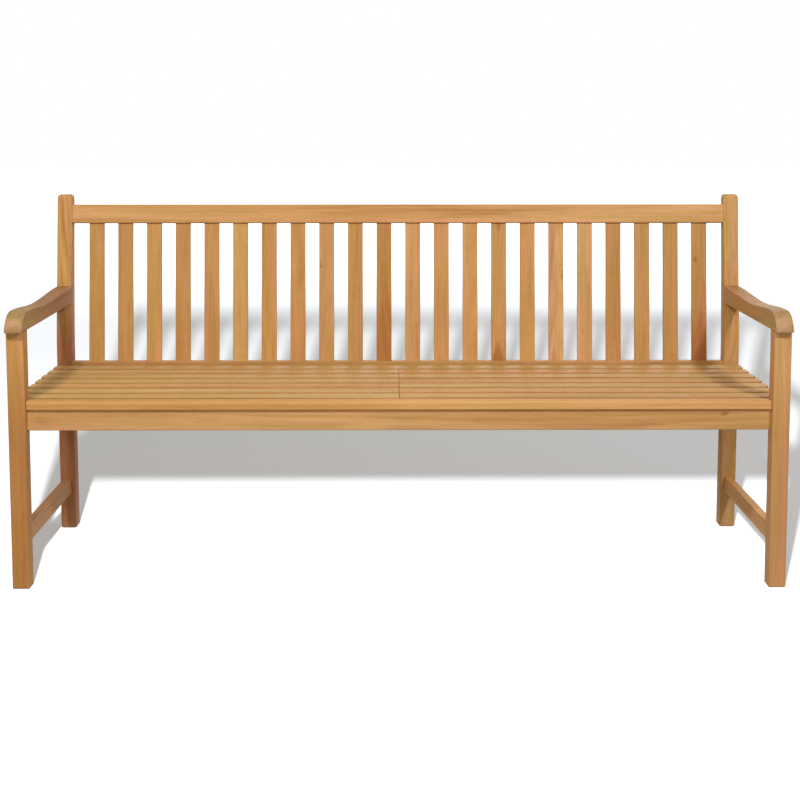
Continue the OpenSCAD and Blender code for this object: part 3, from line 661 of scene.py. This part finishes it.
# %% Dress the long rails
foot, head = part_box("front_rail")
rail_marks = [((foot.x + 0.045, foot.y, foot.z + 0.024), (0.020, 0.03, 0.012), KNOT, 0.40),
              ((head.x - 0.118, foot.y, head.z - 0.012), (0.012, 0.03, 0.006), KNOT, 0.9)]
teak(nodes["front_rail"], "x", (0, 0.06, -0.02), "sand", ring_width=0.007, wander=0.03,
     streaks=0.6, figures=rail_marks)
teak(nodes["top_rail"], "x", (0, 0.05, -0.01), "sand", ring_width=0.008, wander=0.04,
     streaks=0.6)
teak(nodes["lower_back_rail"], "x", (0, 0.1, -0.08), "nut", ring_width=0.006)
teak(nodes["centre_bearer"], "y", (0.06, 0, -0.05), "amber")
print("long rails and bearer: 4, with knots:", len(rail_marks))

# %% [markdown]
# ## The end frames
# Each end frame is a front leg, a rear post, an arm, a stretcher and a hidden seat rail. The two
# frames come from different timber: the left one is redder and the right one is golden. The posts
# darken low down, the left one most, partly from heartwood and partly as painted shade under the
# arm and the seat, and the legs darken and redden towards the foot, partly heartwood and partly
# painted shade. A wide, soft flame gives that slow change along a piece, which saves a second
# kind of material. Faces that look up get a greyer, darker tint of their own, which is painted
# shade on the tops.

# %% Describe the two frames
RED_BROWN = (0.62, 0.44, 0.52, 1)
# Painted shade: faces that look up are toned greyer and darker than the rest of the piece.
SHADED_TOPS = ("Z", 0.60, 0.95, (0.84, 0.84, 0.82, 1))
ends = {"left": {"leg": "clay", "post": "sand", "arm": "fawn", "stretcher": "chestnut",
                 "turned": 0.3, "dark": 1.0, "middle": 0.28, "reach": 0.42,
                 "arm_tint": (0.84, 0.48, 0.52, 1), "leg_tint": (0.64, 0.42, 0.36, 1),
                 "stretcher_top_shade": SHADED_TOPS},
        "right": {"leg": "oat", "post": "gold", "arm": "pale", "stretcher": "apricot",
                  "turned": 1.8, "dark": 0.35, "middle": 0.24, "reach": 0.20,
                  "arm_tint": (1.30, 0.94, 0.50, 1), "leg_tint": (0.58, 0.42, 0.20, 1),
                  "stretcher_top_shade": None}}
print("end frames:", ", ".join(ends))

# %% Dress the end frames
POST_LEAN = -math.radians(5)
THROUGH = 0.5  # metres, so that a flame reaches right through a piece
for side, wood in ends.items():
    foot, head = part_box(f"front_leg_{side}")
    # Painted shade with redder heartwood: the leg darkens and reddens towards its foot, where
    # less light falls.
    shade = [((foot.x, foot.y, foot.z + 0.2), (THROUGH, THROUGH, 0.34), FLAME, 0.45)]
    if side == "right":
        shade.append(((head.x, foot.y, foot.z + 0.14), (0.012, 0.06, 0.13), FLAME, 0.7))
    teak(nodes[f"front_leg_{side}"], "z", (0.05, 0.08, 0), wood["leg"], contrast=0.4,
         streaks=0.7, slant=wood["turned"] / 3, figures=shade, mark_tint=wood["leg_tint"])
    foot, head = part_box(f"rear_post_{side}")
    # The post darkens low down: partly heartwood, partly painted shade under the arm and the
    # seat.
    heartwood_and_shade = ((foot.x, foot.y, foot.z + wood["middle"]), (THROUGH, THROUGH, wood["reach"]),
                 FLAME, wood["dark"])
    teak(nodes[f"rear_post_{side}"], "z", (0.06, 0.07, 0), wood["post"], lean=POST_LEAN,
         slant=wood["turned"], contrast=0.5, figures=[heartwood_and_shade], mark_tint=RED_BROWN)
    foot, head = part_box(f"arm_{side}")
    darker = (((foot.x + head.x) / 2, head.y, head.z), (THROUGH, 0.55, THROUGH), FLAME, 0.55)
    teak(nodes[f"arm_{side}"], "y", (0.06, 0, -0.09), wood["arm"], contrast=0.35,
         ring_width=0.009, figures=[darker], mark_tint=wood["arm_tint"], faces=SHADED_TOPS)
    teak(nodes[f"side_stretcher_{side}"], "y", (0.08, 0, 0.05), wood["stretcher"],
         streaks=0.4, contrast=0.3, faces=wood["stretcher_top_shade"])
    teak(nodes[f"seat_side_rail_{side}"], "y", (0.08, 0, 0.05), "amber")
    print(side, "end frame dressed")

# %% [markdown]
# ## Fasteners and pegs
# Bolts, barrel nuts and screws are stainless steel, dull from the lathe, and the pegs through
# the tenons are teak like the rest. Turning leaves fine marks that scatter the light unevenly.
# They could be cut into the mesh, but at this size a fine noise in the sheen says the same.

# %% Dress the fasteners
DARK_STEEL, LIGHT_STEEL = (0.27, 0.27, 0.28, 1), (0.38, 0.38, 0.39, 1)
steel = new_material("stainless steel")
tree = steel.node_tree
turned = put(tree, "TexNoise", Vector=own_place(tree), Scale=900, Detail=2).outputs["Fac"]
skin = put(tree, "BsdfPrincipled", Metallic=1.0,
           Roughness=spread(tree, turned, 0.3, 0.7, 0.28, 0.42),
           Base_Color=mix_colours(tree, turned, DARK_STEEL, LIGHT_STEEL))
put(tree, "OutputMaterial", Surface=skin.outputs[0])
fasteners = ("frame_bolts", "barrel_nuts", "seat_screws")
for name in fasteners:
    dress(nodes[name], steel)
teak(nodes["tenon_pegs"], "x", (0, 0.05, 0.03), "amber")
print("steel:", ", ".join(fasteners))

# %% [markdown]
# ## Light on every piece
# A linked lamp lights only what is in its collection. Pieces could be added as each is dressed,
# but one loop at the end can't forget any.

# %% Let the wood's lamps light every piece
for node in nodes.values():
    wood_lit.objects.link(node)
